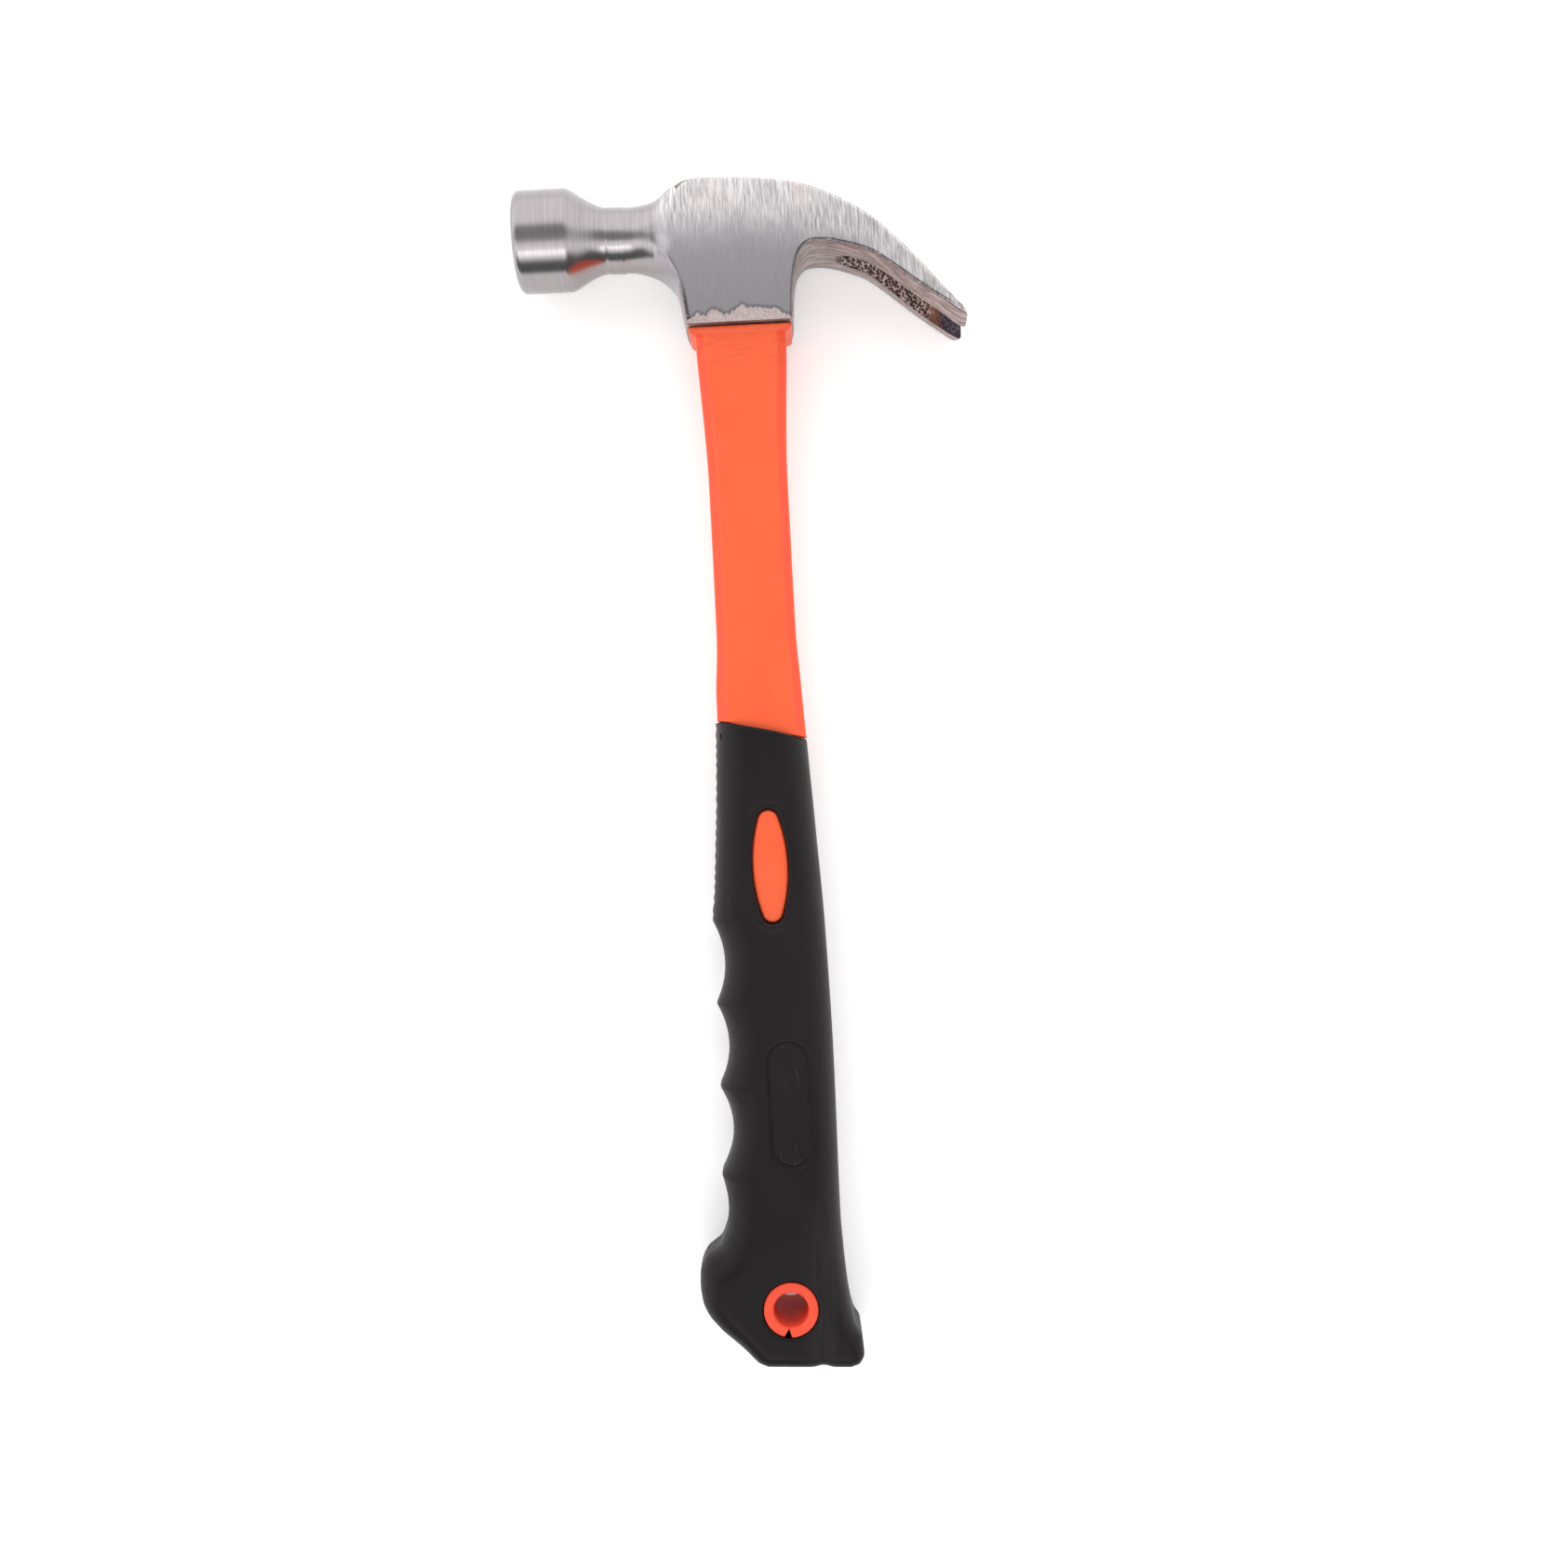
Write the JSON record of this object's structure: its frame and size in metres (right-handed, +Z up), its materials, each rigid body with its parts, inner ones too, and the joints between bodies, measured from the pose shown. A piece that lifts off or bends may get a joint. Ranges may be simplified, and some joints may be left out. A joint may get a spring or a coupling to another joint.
{
  "type": "claw hammer",
  "caption": "Claw hammer with a forged steel head, a curved claw with a nail slot, a straight moulded handle and a soft grip with finger grooves and a hang hole.",
  "frame": {"origin": "centre of the footprint of the hammer lying on its side, on the surface that it lies on", "axes": "+Y along the handle from the butt towards the head, +X from the striking face towards the claw, +Z up through the thickness"},
  "size_m": [0.1024, 0.272, 0.024],
  "materials": {
    "steel": "belt ground, with an unground forged skin under the claw",
    "core": "pultruded glass fibre in polyester",
    "resin": "cast epoxy",
    "jacket": "satin orange polypropylene",
    "grip": "satin black thermoplastic rubber",
    "bush": "satin orange polypropylene"
  },
  "bodies": {
    "root": {"hammer_head": "steel", "fibreglass_core": "core", "eye_resin": "resin", "handle_jacket": "jacket", "grip": "grip", "hang_hole_bush": "bush"}
  },
  "joints": []
}
